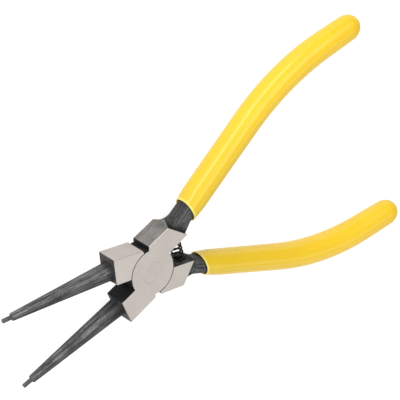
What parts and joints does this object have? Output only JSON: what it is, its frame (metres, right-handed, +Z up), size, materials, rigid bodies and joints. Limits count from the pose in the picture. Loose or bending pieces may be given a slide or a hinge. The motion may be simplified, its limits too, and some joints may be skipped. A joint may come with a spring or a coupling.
{
  "type": "internal circlip pliers",
  "caption": "Straight-nosed internal circlip pliers: crossing forged halves on a flush rivet, tapered jaws with pin tips, a coil return spring and dipped vinyl grips.",
  "frame": {"origin": "on the pivot axis, at the joint's lower ground face", "axes": "+X towards the handles along the middle between them, +Z up along the pivot axis out of the upper ground face, +Y across the tool to the upper half's handle"},
  "size_m": [0.1671, 0.0918, 0.0109],
  "materials": {
    "forged_steel": "ground bright on the joint and its blocks, black oxide on the jaws and necks",
    "rivet_steel": "ground flush",
    "spring_wire": "blackened spring wire",
    "tip_steel": "dark hardened pin",
    "vinyl": "glossy dipped vinyl"
  },
  "bodies": {
    "upper": {"upper_half": "forged_steel", "pivot_rivet": "rivet_steel", "return_spring": "spring_wire", "upper_grip": "vinyl", "upper_tip_pin": "tip_steel"},
    "lower": {"lower_half": "forged_steel", "lower_grip": "vinyl", "lower_tip_pin": "tip_steel"}
  },
  "joints": [
    {"name": "pivot", "type": "hinge", "parent": "upper", "child": "lower", "pos_m": [0, 0, 0.00455], "axis": [0, 0, 1], "range_deg": [-11, 25], "stiffness_Nm_per_rad": 0.4, "deforming": ["return_spring"]}
  ]
}
